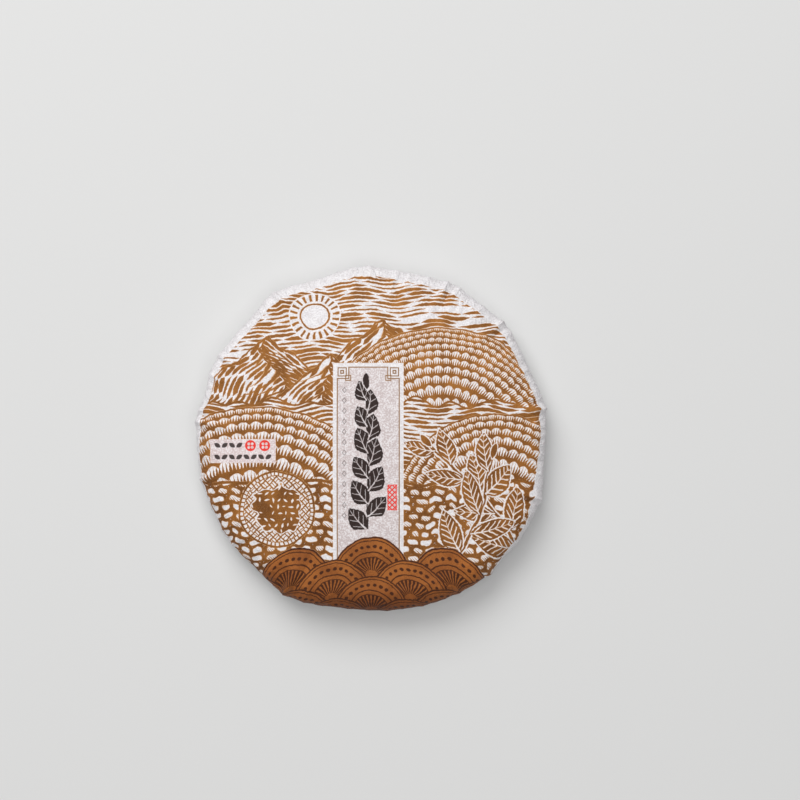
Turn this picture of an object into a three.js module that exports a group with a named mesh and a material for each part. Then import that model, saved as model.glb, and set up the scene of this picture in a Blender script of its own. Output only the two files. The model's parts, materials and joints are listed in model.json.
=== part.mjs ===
// A small pressed pu erh tea cake in its paper wrapper, lying on its back with the printed side up.
// One sheet of thin cotton paper is drawn over the domed face, folded over the rim in uneven pleats, and
// gathered on the back, where its twisted tail is tucked into the cake's hollow.
// Millimetres, +Z up, origin under the centre on the floor.
import * as THREE from "three";

// Profile of the wrapped cake, from the middle of the face to the middle of the back.
const HEIGHT = 19; // floor to the middle of the face
const RIM_REACH = 52.2; // mean distance from the axis to the rim
const FACE_EDGE_REACH = 46; // where the gently domed face turns into the shoulder
const FACE_EDGE_HEIGHT = 14.8;
const SHOULDER_DROP = 0.9; // how far the paper drops before it bends over the shoulder
const RIM_HEIGHT = 8; // height of the widest line of the rim
const BACK_EDGE_REACH = 46; // where the rim meets the flat back
const HOLLOW_REACH = 16; // mouth of the hollow in the back
const HOLLOW_FLOOR_REACH = 8.5;
const HOLLOW_DEPTH = 5.5;
const HOLLOW_ROUNDING = 3; // how far the hollow's mouth and floor are rounded off
const TAIL_DEPTH = 1.6; // how far the end of the tucked tail stays above the floor
const TAIL_FLARE = 4; // how far the hollow's floor runs in before the tail stands out of it
const TAIL_ROUNDING = 3; // how far the tail's end is rounded off
const BULGE = 0.62; // how square the shoulder and the lower rim are, from 0.5 to 1

// Where the pleats pull the paper tight round the rim: bearing in degrees from +X, and reach.
const PLEAT_CORNERS = [
  [9.8, 53.3], [23.5, 51.8], [37, 52.8], [41.5, 53.0], [59.5, 52.6], [64, 52.4], [77, 51.1], [91, 52.0],
  [96, 51.8], [109, 50.6], [124, 53.1], [138, 51.2], [151.5, 52.5], [158.5, 52.7], [165.5, 51.8], [171, 52.9],
  [175, 53.1], [193.5, 53.0], [211.5, 52.8], [217.5, 52.7], [229, 52.2], [240.5, 53.9], [247.5, 53.3],
  [262, 51.6], [275, 51.9], [287, 52.6], [299.5, 53.4], [311, 54.2], [318, 53.2], [325, 54.0], [340, 54.4],
  [354, 52.2],
];
const PLEAT_STEP = 0.9; // how far a fold's edge stands over the next pleat
const PLEAT_FLAT = 0.6; // share of a pleat's width that lies flat before it dips under the next fold
const FOLD_EDGE = 0.965; // share of a pleat's width where its dip ends at the next fold's edge
const PLEAT_TWIST = THREE.MathUtils.degToRad(24); // how far the pleats turn from rim to tail

// Distances along the paper over which an effect grows or fades.
const CORNERS_GROW = [-12, 5]; // the outline's corners, counted from the face's edge
const CORNERS_FADE = [2, 24]; // the same corners, counted from the back's edge
const PLEATS_GROW = [-2, 1]; // the pleats' dips, from before the rim's widest line to past the back's edge
const PLEATS_LEFT = 0.5; // share of the dips that is left at the tail's end

// Slow waves round the pressed face: how many, where they start, their rise, and how they grow outwards.
const FACE_SWELLS = [
  { waves: 2, start: 0.6, rise: 0.35, power: 1 },
  { waves: 3, start: 2.1, rise: 0.21, power: 2 },
];
const SWELL_FADE = [0.7, 1]; // shares of the rim's reach between which the waves die out

// How finely the surface is divided.
const COLUMN_ANGLE = 4; // degrees, about the width between two columns in one pleat
const FEWEST_COLUMNS = 4;
const RINGS = { face: 7, shoulder: 5, lowerRim: 4, back: 4, hollow: 3, tail: 3 };

// The section through the wrapped cake as one path of curves, each named by its stretch of paper.
function sectionCurves() {
  const point = (reach, height) => new THREE.Vector2(reach, height);
  const faceEdge = point(FACE_EDGE_REACH, FACE_EDGE_HEIGHT);
  const rim = point(RIM_REACH, RIM_HEIGHT);
  const backEdge = point(BACK_EDGE_REACH, 0);
  const hollowEdge = point(HOLLOW_REACH, 0);
  const hollowFloor = point(HOLLOW_FLOOR_REACH, HOLLOW_DEPTH);
  const over = RIM_REACH - FACE_EDGE_REACH;
  return {
    face: new THREE.QuadraticBezierCurve(point(0, HEIGHT), point(FACE_EDGE_REACH / 2, HEIGHT), faceEdge),
    shoulder: new THREE.CubicBezierCurve(
      faceEdge,
      point(FACE_EDGE_REACH + over * BULGE, FACE_EDGE_HEIGHT - SHOULDER_DROP),
      point(RIM_REACH, RIM_HEIGHT + (FACE_EDGE_HEIGHT - RIM_HEIGHT) * BULGE),
      rim,
    ),
    lowerRim: new THREE.CubicBezierCurve(
      rim,
      point(RIM_REACH, RIM_HEIGHT * (1 - BULGE)),
      point(BACK_EDGE_REACH + over * BULGE, 0),
      backEdge,
    ),
    back: new THREE.LineCurve(backEdge, hollowEdge),
    hollow: new THREE.CubicBezierCurve(
      hollowEdge,
      point(HOLLOW_REACH - HOLLOW_ROUNDING, 0),
      point(HOLLOW_FLOOR_REACH + HOLLOW_ROUNDING, HOLLOW_DEPTH),
      hollowFloor,
    ),
    tail: new THREE.CubicBezierCurve(
      hollowFloor,
      point(HOLLOW_FLOOR_REACH - TAIL_FLARE, HOLLOW_DEPTH),
      point(HOLLOW_FLOOR_REACH - TAIL_ROUNDING, TAIL_DEPTH),
      point(0, TAIL_DEPTH),
    ),
  };
}

// The section's points in order, each with its distance along the paper from the middle of the face.
function sectionPoints() {
  const points = [];
  for (const [name, curve] of Object.entries(sectionCurves())) {
    const made = curve.getPoints(RINGS[name]);
    points.push(...(points.length ? made.slice(1) : made));
  }
  let along = 0;
  return points.map((point, i) => {
    along += i ? point.distanceTo(points[i - 1]) : 0;
    return { reach: point.x, height: point.y, along };
  });
}

// One column for each line of the paper from face to tail: its pleat, its share of that pleat's width, and
// its bearing.
function pleatColumns() {
  const columns = [];
  PLEAT_CORNERS.forEach(([bearing], pleat) => {
    const nextBearing = PLEAT_CORNERS[(pleat + 1) % PLEAT_CORNERS.length][0];
    const width = (nextBearing - bearing + 360) % 360;
    const count = Math.max(FEWEST_COLUMNS, Math.round(width / COLUMN_ANGLE) + 1);
    for (let i = 0; i < count; i++) {
      const share = (FOLD_EDGE * i) / (count - 1);
      columns.push({ pleat, share, bearing: THREE.MathUtils.degToRad(bearing + width * share) });
    }
  });
  return columns;
}

// The rim's outline at a column: the paper runs straight from one pleat's corner to the next.
function outlineReach({ pleat, share }) {
  const corner = (i) => {
    const [bearing, reach] = PLEAT_CORNERS[i % PLEAT_CORNERS.length];
    const turn = THREE.MathUtils.degToRad(bearing);
    return new THREE.Vector2(reach * Math.cos(turn), reach * Math.sin(turn));
  };
  return corner(pleat).lerp(corner(pleat + 1), share).length();
}

// How strongly each effect acts at a distance along the paper. The edges are the distances where the sheet
// turns: the face's edge, the rim, the back's edge, the hollow's mouth and the tail's end.
function effectShares(along, edges) {
  const { smoothstep } = THREE.MathUtils;
  const cornersGrown = smoothstep(along, edges.face + CORNERS_GROW[0], edges.face + CORNERS_GROW[1]);
  const cornersFaded = smoothstep(along, edges.back + CORNERS_FADE[0], edges.back + CORNERS_FADE[1]);
  const pleatsGrown = smoothstep(along, edges.rim + PLEATS_GROW[0], edges.back + PLEATS_GROW[1]);
  const pleatsFaded = smoothstep(along, edges.hollow, edges.tail) * (1 - PLEATS_LEFT);
  return {
    corners: cornersGrown * (1 - cornersFaded),
    pleats: pleatsGrown * (1 - pleatsFaded),
    twist: smoothstep(along, edges.rim, edges.tail),
  };
}

// The slow rise and fall of the pressed face, which dies out towards the rim.
function faceSwell(reach, bearing) {
  const share = reach / RIM_REACH;
  let height = 0;
  for (const { waves, start, rise, power } of FACE_SWELLS) {
    height += rise * Math.sin(waves * bearing + start) * share ** power;
  }
  return height * (1 - THREE.MathUtils.smoothstep(share, ...SWELL_FADE));
}

// The closed surface of the wrapper: a lathed section whose columns are then drawn out to the pleats.
function wrapperGeometry() {
  const section = sectionPoints();
  const columns = pleatColumns();
  const last = section.length - 1;
  const lastFaceRing = RINGS.face;
  const rimRing = lastFaceRing + RINGS.shoulder;
  const backRing = rimRing + RINGS.lowerRim;
  const edges = {
    face: section[lastFaceRing].along,
    rim: section[rimRing].along,
    back: section[backRing].along,
    hollow: section[backRing + RINGS.back].along,
    tail: section[last].along,
  };

  // The lathe takes the section from the bottom up, so that its faces point outwards.
  const upwards = section.map((p) => new THREE.Vector2(p.reach, p.height)).reverse();
  const lathe = new THREE.LatheGeometry(upwards, columns.length);
  const position = lathe.getAttribute("position");
  for (let c = 0; c <= columns.length; c++) {
    const column = columns[c % columns.length];
    const outline = outlineReach(column) / RIM_REACH;
    const dip = THREE.MathUtils.smoothstep(column.share, PLEAT_FLAT, FOLD_EDGE) * PLEAT_STEP;
    for (let ring = 0; ring <= last; ring++) {
      const here = section[ring];
      const shares = effectShares(here.along, edges);
      // A pleat dips into the body, at a right angle to the section.
      const before = section[Math.max(ring - 1, 0)];
      const after = section[Math.min(ring + 1, last)];
      const run = new THREE.Vector2(after.reach - before.reach, after.height - before.height).normalize();
      const depth = here.reach > 0 ? dip * shares.pleats : 0;
      const swell = ring < lastFaceRing ? faceSwell(here.reach, column.bearing) : 0;
      const reach = here.reach * THREE.MathUtils.lerp(1, outline, shares.corners) + run.y * depth;
      const height = here.height - run.x * depth + swell;
      const bearing = column.bearing + PLEAT_TWIST * shares.twist;
      const vertex = c * (last + 1) + last - ring;
      position.setXYZ(vertex, reach * Math.cos(bearing), reach * Math.sin(bearing), height);
    }
  }
  return lathe;
}

// Puts the origin under the middle of the object's box.
function centred(geometry) {
  geometry.computeBoundingBox();
  const middle = geometry.boundingBox.getCenter(new THREE.Vector3());
  return geometry.translate(-middle.x, -middle.y, 0);
}

const wrapperPaper = new THREE.MeshStandardMaterial({ color: 0xe4dcd6, roughness: 0.85, metalness: 0 });
const wrappedCake = new THREE.Mesh(centred(wrapperGeometry()), wrapperPaper);
wrappedCake.name = "wrapped_tea_cake";

const group = new THREE.Group();
group.add(wrappedCake);

export default group;
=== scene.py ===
"""A small pressed pu erh tea cake in printed cotton paper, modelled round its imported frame."""

import json
import math
import random

import bpy
import numpy as np
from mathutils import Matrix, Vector, noise
from mathutils.geometry import delaunay_2d_cdt

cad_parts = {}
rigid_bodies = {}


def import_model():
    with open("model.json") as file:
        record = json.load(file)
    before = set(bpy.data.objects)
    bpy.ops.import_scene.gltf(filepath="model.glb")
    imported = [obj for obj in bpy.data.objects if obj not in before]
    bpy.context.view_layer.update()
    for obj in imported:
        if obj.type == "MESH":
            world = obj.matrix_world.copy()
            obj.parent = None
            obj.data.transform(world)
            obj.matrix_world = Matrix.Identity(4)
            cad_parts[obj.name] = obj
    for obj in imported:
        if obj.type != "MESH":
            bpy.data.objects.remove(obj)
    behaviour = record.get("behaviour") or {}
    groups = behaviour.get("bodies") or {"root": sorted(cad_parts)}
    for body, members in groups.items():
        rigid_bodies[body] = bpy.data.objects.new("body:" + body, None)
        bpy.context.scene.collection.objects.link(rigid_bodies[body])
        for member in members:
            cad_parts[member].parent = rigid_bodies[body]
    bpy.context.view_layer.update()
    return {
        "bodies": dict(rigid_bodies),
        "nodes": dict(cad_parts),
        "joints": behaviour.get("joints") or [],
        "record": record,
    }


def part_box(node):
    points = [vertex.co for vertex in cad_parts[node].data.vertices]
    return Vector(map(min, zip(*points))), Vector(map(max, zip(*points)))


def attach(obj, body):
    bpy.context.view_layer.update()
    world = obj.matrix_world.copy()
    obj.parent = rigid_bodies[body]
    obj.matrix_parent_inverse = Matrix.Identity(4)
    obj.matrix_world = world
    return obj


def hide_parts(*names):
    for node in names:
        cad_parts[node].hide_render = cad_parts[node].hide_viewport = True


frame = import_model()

bl_info = {
    "name": "Wrapped Tea Cake",
    "version": (1, 0, 0),
    "blender": (4, 5, 0),
    "location": "View3D > Sidebar > Tea Cake",
    "description": "Builds a pressed tea cake in its pleated, printed paper wrapper",
    "category": "Object",
}

NODE = "wrapped_tea_cake"  # the solid that the paper wrapper stands for
MM = 0.001  # lengths below are in millimetres unless a name says otherwise

# Profile of the wrapped cake, from the middle of the face to the middle of the back, as in the solid.
HEIGHT = 19.0
RIM_REACH = 52.2
RIM_HEIGHT = 8.0
FACE_EDGE = (46.0, 14.8)  # reach and height where the face turns into the shoulder
SHOULDER_DROP = 0.9  # how far the paper drops before it bends over the shoulder
BACK_EDGE = (46.0, 0.0)
HOLLOW_EDGE = (16.0, 0.0)
HOLLOW_FLOOR = (8.5, 5.5)
HOLLOW_ROUNDING = 3.0  # how far the hollow's mouth and floor are rounded off
TAIL_DEPTH = 1.6  # how far the end of the tucked tail stays above the floor
TAIL_FLARE = 4.0  # how far the hollow's floor runs in before the tail stands out of it
TAIL_ROUNDING = 3.0  # how far the tail's end is rounded off
BULGE = 0.62  # how square the shoulder and the lower rim are

# Where the pleats pull the paper tight round the rim: bearing in degrees from +X, and reach.
PLEAT_CORNERS = (
    (9.8, 53.3), (23.5, 51.8), (37, 52.8), (41.5, 53.0), (59.5, 52.6), (64, 52.4), (77, 51.1), (91, 52.0),
    (96, 51.8), (109, 50.6), (124, 53.1), (138, 51.2), (151.5, 52.5), (158.5, 52.7), (165.5, 51.8),
    (171, 52.9), (175, 53.1), (193.5, 53.0), (211.5, 52.8), (217.5, 52.7), (229, 52.2), (240.5, 53.9),
    (247.5, 53.3), (262, 51.6), (275, 51.9), (287, 52.6), (299.5, 53.4), (311, 54.2), (318, 53.2),
    (325, 54.0), (340, 54.4), (354, 52.2),
)
PINCHED = (9.8, 41.5, 64, 124, 175, 240.5, 311, 340)  # bearings of the corners that stick out as ears
PLEAT_FLAT = 0.6  # share of a pleat's width that lies flat before it dips
FOLD_EDGE = 0.965  # share of its width where the dip ends
TUCK_SHARE = 0.02  # how much further, in shares of the width, a fold is tucked under the next pleat
TUCK_TURN = 0.9  # and how far it turns under it, in degrees
PLEAT_TWIST = math.radians(24)  # how far the pleats turn from rim to tail
TAIL_TWIST = math.radians(150)  # how far the tail is twisted on itself

# Distances along the paper over which an effect grows or fades, as in the solid.
CORNERS_GROW = (-12, 5)  # the outline's corners, counted from the face's edge
CORNERS_FADE = (2, 24)  # the same corners, counted from the back's edge
PLEATS_GROW = (-2, 1)  # the pleats' dips, from before the rim to past the back's edge
PLEATS_LEFT = 0.5  # share of the dips that is left at the tail's end

# Low relief of the paper.
FACE_SWELLS = ((2, 0.6, 0.35, 1), (3, 2.1, 0.21, 2))  # waves round the face, start, rise, growth outwards
SWELL_FADE = (0.7, 1)  # shares of the rim's reach between which they die out
LUMPS = ((0.17, 0.10), (0.45, 0.05))  # the pressed leaf under the paper: lumps to the mm, and their rise
CREASE_SEED = 7
LOOSE_POINTS = 1150  # how many points the net of creases holds, with its loose dents
WRINKLE_TURN = 17.0  # how closely the wrinkles follow each other round the rim
WRINKLE_RUN = 0.16  # how slowly each one changes on its way over the rim
BROAD_WRINKLE = 0.26
FINE_WRINKLE = 0.10
TAIL_FOLD = 0.9
FIBRE_RISE = 0.12  # the fibres and the finest creases, which are bump in the material

# How finely the paper is divided.
COLUMN_STEP = 0.62  # degrees between two columns
FEWEST_COLUMNS = 8  # in one pleat
RINGS = {"face": 36, "shoulder": 32, "lower_rim": 22, "back": 28, "hollow": 12, "tail": 14}
SHARP_FOLD = math.radians(38)  # a fold that turns further than this keeps its edge
SEAM_GAP = 0.0001  # points closer than this are joined, where the sheet's ends and its poles meet
SHEET_WIDTH = 240.0  # the square sheet that the picture map covers
ARC = 0.9  # mm round the rim for one degree

# The stage.
FRAME_WIDTH = 241.0  # what the picture takes in across, at the rim's height
FRAME_MIDDLE = (8.7, 11.4, 8.0)  # the point at its middle, right of and above the cake's
FLOOR_TONE = (0.70, 0.70, 0.695, 1)
SKY_LIGHT = 0.25
LAMPS = {"key": (1.1, (-0.38, 0.85, 1.1)), "fill": (1.4, (0.1, -0.15, 1.5))}  # width and place in metres


def smooth(value, low, high):
    """A soft step from 0 at low to 1 at high."""
    t = np.clip((value - low) / (high - low), 0, 1)
    return t * t * (3 - 2 * t)


def bezier(points, steps):
    """Points on a curve with the given handles, without its first one."""
    t = np.linspace(0, 1, steps + 1)[1:, None]
    last = len(points) - 1
    return sum(math.comb(last, k) * t**k * (1 - t) ** (last - k) * np.array(p) for k, p in enumerate(points))


def section():
    """Reach, height and distance along the paper for each ring, and where each stretch ends along it."""
    (fx, fz), (bx, bz), (hx, hz), (tx, tz) = FACE_EDGE, BACK_EDGE, HOLLOW_EDGE, HOLLOW_FLOOR
    over = RIM_REACH - fx
    rim = (RIM_REACH, RIM_HEIGHT)
    above_rim = (RIM_REACH, RIM_HEIGHT + (fz - RIM_HEIGHT) * BULGE)
    below_rim = (RIM_REACH, RIM_HEIGHT * (1 - BULGE))
    round_tail = (tx - TAIL_ROUNDING, TAIL_DEPTH)
    handles = {
        "face": ((0, HEIGHT), (fx / 2, HEIGHT), FACE_EDGE),
        "shoulder": (FACE_EDGE, (fx + over * BULGE, fz - SHOULDER_DROP), above_rim, rim),
        "lower_rim": (rim, below_rim, (bx + over * BULGE, bz), BACK_EDGE),
        "back": (BACK_EDGE, HOLLOW_EDGE),
        "hollow": (HOLLOW_EDGE, (hx - HOLLOW_ROUNDING, hz), (tx + HOLLOW_ROUNDING, tz), HOLLOW_FLOOR),
        "tail": (HOLLOW_FLOOR, (tx - TAIL_FLARE, tz), round_tail, (0, TAIL_DEPTH)),
    }
    points, ends = [np.array([handles["face"][0]], float)], {}
    for name, shape in handles.items():
        points.append(bezier(shape, RINGS[name]))
        ends[name] = sum(len(p) for p in points) - 1
    path = np.concatenate(points)
    steps = np.linalg.norm(np.diff(path, axis=0), axis=1)
    along = np.concatenate([[0], np.cumsum(steps)])
    return path[:, 0], path[:, 1], along, {name: along[i] for name, i in ends.items()}


def pleat_width(pleat):
    """Degrees from a pleat's corner to the next one."""
    return (PLEAT_CORNERS[(pleat + 1) % len(PLEAT_CORNERS)][0] - PLEAT_CORNERS[pleat][0]) % 360


def pleat_columns():
    """Pleat, share of its width, bearing and tuck for every column; each pleat's last one is tucked."""
    rows = []
    for pleat, (bearing, _) in enumerate(PLEAT_CORNERS):
        width = pleat_width(pleat)
        count = max(FEWEST_COLUMNS, round(width / COLUMN_STEP))
        for i in range(count):
            share = FOLD_EDGE * i / (count - 1)
            rows.append((pleat, share, bearing + width * share, 0.0))
        tucked = FOLD_EDGE + TUCK_SHARE
        rows.append((pleat, tucked, bearing + width * tucked, 1.0))
    return np.array(rows).T


def outline_reach(pleat, share):
    """The rim's reach at each column: the paper runs straight from one pleat's corner to the next."""
    turn, reach = np.array(PLEAT_CORNERS).T
    corner = np.stack([reach * np.cos(np.radians(turn)), reach * np.sin(np.radians(turn))], axis=1)
    start, end = corner[pleat], corner[(pleat + 1) % len(corner)]
    return np.linalg.norm(start + (end - start) * np.minimum(share, 1)[:, None], axis=1)


def crease_net(edges):
    """Points and creases of the crumpled margin: bearing and distance along the paper, and their heights."""
    draw = random.Random(CREASE_SEED)
    points, heights, creases = [], [], []
    face, rim, back = edges["face"], edges["shoulder"], edges["lower_rim"]

    def fold(*stops):
        for k, (bearing, along, height) in enumerate(stops):
            points.append((bearing, along))
            heights.append(height)
            if k:
                creases.append((len(points) - 2, len(points) - 1))

    for pleat, (bearing, _) in enumerate(PLEAT_CORNERS):
        width = pleat_width(pleat)
        pinched = bearing in PINCHED
        rise = draw.uniform(0.75, 1.0) if pinched else draw.uniform(0.2, 0.5)
        reach_in = draw.uniform(7, 11) if pinched else draw.uniform(3, 7)
        # A ridge at the corner, a valley on either side of it, and a low fold in the middle of a wide pleat.
        fold(
            (bearing + draw.uniform(-2, 2), face - reach_in, 0),
            (bearing + draw.uniform(-0.6, 0.6), face + 3.5, rise * 0.6),
            (bearing, rim - 1, rise * 0.2),
            (bearing - 0.4, rim + 5, rise * 0.1),
            (bearing - 0.8, back, 0.05),
        )
        fold(
            (bearing + draw.uniform(2, 3.5), face - reach_in * 0.5, -0.1),
            (bearing + draw.uniform(1.6, 2.4), face + 4, -rise * 0.5),
            (bearing + 2.2, rim - 0.5, -rise * 0.1),
        )
        fold(
            (bearing - draw.uniform(2.5, 4), face - reach_in * 0.3, -0.08),
            (bearing - draw.uniform(1.6, 2.4), face + 3.5, -rise * 0.4),
            (bearing - 2.2, rim - 0.5, -rise * 0.1),
        )
        if width > 9:
            middle = bearing + width * draw.uniform(0.35, 0.65)
            fold(
                (middle, face - draw.uniform(1, 5), 0.0),
                (middle + draw.uniform(-1.5, 1.5), face + 4, draw.uniform(0.15, 0.4)),
                (middle + draw.uniform(-2, 2), rim + 1, draw.uniform(0.0, 0.08)),
            )
    # Loose dents between the folds, finer on the shoulder than on the flat.
    while len(points) < LOOSE_POINTS:
        bearing, along = draw.uniform(0, 360), draw.uniform(face - 14, back + 30)
        gap = 1.5 if face - 2 < along < back else 3.2
        apart = (max(abs(along - a), abs((bearing - b + 180) % 360 - 180) * ARC) >= gap for b, a in points)
        if all(apart):
            depth = 0.24 if face < along < rim - 2 else 0.12 if rim - 2 <= along < back else 0.05
            points.append((bearing, along))
            heights.append(draw.uniform(-depth, depth * 0.6))
        elif draw.random() < 0.002:
            break
    return points, heights, creases


def creased_relief(bearings, alongs, edges):
    """Height of the creased paper at each ring and column, flat between the creases of a triangle net."""
    points, heights, creases = crease_net(edges)
    net, levels, lines = [], [], []
    # The net is laid three times side by side, so that it closes round the cake, between two flat borders.
    for turn in (-360, 0, 360):
        first = len(net)
        net += [Vector(((b + turn) * ARC, a)) for b, a in points]
        levels += heights
        lines += [(a + first, b + first) for a, b in creases]
    for turn in range(-400, 800, 12):
        for along in (edges["face"] - 18, edges["hollow"] + 4):
            net.append(Vector((turn * ARC, along)))
            levels.append(0.0)
    places, _, faces, origins, _, _ = delaunay_2d_cdt(net, lines, [], 0, 1e-4, True)
    level = [levels[found[0]] if found else 0.0 for found in origins]
    # Each flat of the net gives its height to the rings and columns that lie on it.
    relief = np.zeros((len(alongs), len(bearings)))
    across = bearings * ARC
    for face in faces:
        corners = np.array([places[i][:] for i in face])
        low, high = corners.min(axis=0), corners.max(axis=0)
        cols = np.nonzero((across >= low[0]) & (across <= high[0]))[0]
        rings = np.nonzero((alongs >= low[1]) & (alongs <= high[1]))[0]
        if not len(cols) or not len(rings):
            continue
        (ax, ay), (bx, by), (cx, cy) = corners
        whole = (bx - ax) * (cy - ay) - (cx - ax) * (by - ay)
        if abs(whole) < 1e-9:
            continue
        px, py = across[cols][None, :] - ax, alongs[rings][:, None] - ay
        b = (px * (cy - ay) - (cx - ax) * py) / whole
        c = ((bx - ax) * py - px * (by - ay)) / whole
        inside = (b >= -1e-6) & (c >= -1e-6) & (b + c <= 1 + 1e-6)
        value = level[face[0]] * (1 - b - c) + level[face[1]] * b + level[face[2]] * c
        block = relief[np.ix_(rings, cols)]
        relief[np.ix_(rings, cols)] = np.where(inside, value, block)
    return relief


def pressed_leaf_relief(bearings, reaches, alongs, face_end):
    """Low, soft lumps of the pressed leaf under the paper."""
    relief = np.zeros((len(alongs), len(bearings)))
    fade = 1 - smooth(alongs, face_end - 2, face_end + 6)
    cosine, sine = np.cos(np.radians(bearings)), np.sin(np.radians(bearings))
    for ring, reach in enumerate(reaches):
        if fade[ring] <= 0:
            break
        for col in range(len(bearings)):
            spot = Vector((reach * cosine[col], reach * sine[col], 3.0))
            relief[ring, col] = sum(rise * noise.noise(spot * scale) for scale, rise in LUMPS)
        relief[ring] *= fade[ring]
    return relief


def wrinkle_relief(bearings, alongs, edges):
    """Thin, sharp wrinkles of the paper from the shoulder to the back, mostly running over the rim."""
    relief = np.zeros((len(alongs), len(bearings)))
    inner, outer = edges["face"], edges["back"]
    share = smooth(alongs, inner - 5, inner + 3) * (1 - smooth(alongs, outer - 12, outer))
    share *= 1 - 0.6 * np.exp(-(((alongs - edges["shoulder"]) / 2.5) ** 2))
    for ring, along in enumerate(alongs):
        if share[ring] > 0:
            for col, turn in enumerate(np.radians(bearings)):
                around = math.cos(turn) * WRINKLE_TURN, math.sin(turn) * WRINKLE_TURN
                spot = Vector((*around, along * WRINKLE_RUN))
                broad = max(1 - abs(noise.noise(spot)) * 2.4, 0)
                fine = max(1 - abs(noise.noise(spot * 1.9)) * 2.6, 0)
                relief[ring, col] = share[ring] * (BROAD_WRINKLE * broad**4 + FINE_WRINKLE * fine**3)
    return relief


def wrapper_places(sizes):
    """Positions (in mm) and places on the flat sheet for each ring and column of the wrapper."""
    reach, height, along, edges = section()
    pleat, share, bearing, tuck = pleat_columns()
    pleat = pleat.astype(int)
    outline = outline_reach(pleat, share) / RIM_REACH

    before, after = np.r_[0, np.arange(len(reach) - 1)], np.r_[np.arange(1, len(reach)), len(reach) - 1]
    run = np.stack([reach[after] - reach[before], height[after] - height[before]], axis=1)
    run /= np.linalg.norm(run, axis=1)[:, None]

    face, rim, back = edges["face"], edges["shoulder"], edges["lower_rim"]
    flat, hollow, tail = edges["back"], edges["hollow"], edges["tail"]
    (grow, grown), (fade, faded) = CORNERS_GROW, CORNERS_FADE
    chord = smooth(along, face + grow, face + grown) * (1 - smooth(along, back + fade, back + faded))
    gather = smooth(along, rim + PLEATS_GROW[0], back + PLEATS_GROW[1])
    gather *= 1 - (1 - PLEATS_LEFT) * smooth(along, hollow, tail)
    twist = PLEAT_TWIST * smooth(along, rim, tail) + TAIL_TWIST * smooth(along, hollow - 2, tail)

    dip = np.where(tuck > 0, 1.0, smooth(share, PLEAT_FLAT, FOLD_EDGE)) * sizes.pleat_step / MM
    depth = dip[None, :] * gather[:, None] * (reach > 0)[:, None]

    theta = np.radians(bearing)
    outwards = (reach / RIM_REACH)[:, None]
    swell = (1 - smooth(outwards, *SWELL_FADE)) * (along <= face)[:, None] * sum(
        rise * np.sin(waves * theta + start)[None, :] * outwards**growth
        for waves, start, rise, growth in FACE_SWELLS
    )

    relief = creased_relief(bearing, along, edges) * sizes.crease_depth / MM
    relief += pressed_leaf_relief(bearing, reach, along, face) + wrinkle_relief(bearing, along, edges)
    # The tail's twisted folds stand out as rounded ribs.
    folds = np.abs(np.sin(theta * 9)[None, :] + 0.5 * np.sin(theta * 14 + 1)[None, :])
    in_hollow = smooth(along, flat + 3, hollow + 2) * (1 - smooth(along, tail - 3, tail))
    relief += TAIL_FOLD * folds * in_hollow[:, None]

    out = reach[:, None] * (1 + (outline[None, :] - 1) * chord[:, None])
    out = out + run[:, 1:] * (depth - relief)
    up = height[:, None] + swell - run[:, :1] * (depth - relief)
    turned = theta[None, :] + twist[:, None] + np.radians(TUCK_TURN) * tuck[None, :] * gather[:, None]
    places = np.stack([out * np.cos(turned), out * np.sin(turned), np.maximum(up, 0)], axis=2)
    sheet = np.stack([along[:, None] * np.cos(theta), along[:, None] * np.sin(theta)], axis=2)
    return places, sheet


# Shader node groups


def counted(operation):
    """A method that puts a wire, and the number it is counted with, through a Math node."""
    def method(wire, *others):
        return wire.nodes.math(operation, wire, *others)
    return method


class Wire:
    """One number that runs through a node tree. Sums and products of wires become Math nodes."""

    __add__ = __radd__ = counted("ADD")
    __sub__ = counted("SUBTRACT")
    __mul__ = __rmul__ = counted("MULTIPLY")
    __truediv__ = counted("DIVIDE")
    __pow__ = counted("POWER")
    __abs__ = counted("ABSOLUTE")
    __lt__ = counted("LESS_THAN")
    __gt__ = counted("GREATER_THAN")
    least = counted("MINIMUM")
    most = counted("MAXIMUM")
    floor = counted("FLOOR")
    part = counted("FRACT")  # what is left above the whole number below

    def __init__(self, nodes, socket):
        self.nodes, self.socket = nodes, socket

    def __rsub__(self, other):
        return self.nodes.math("SUBTRACT", other, self)

    def __neg__(self):
        return self * -1

    def off_middle(self):
        """Distance from the middle of each whole step, 0 to 0.5."""
        return abs(self.part() - 0.5)


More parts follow.
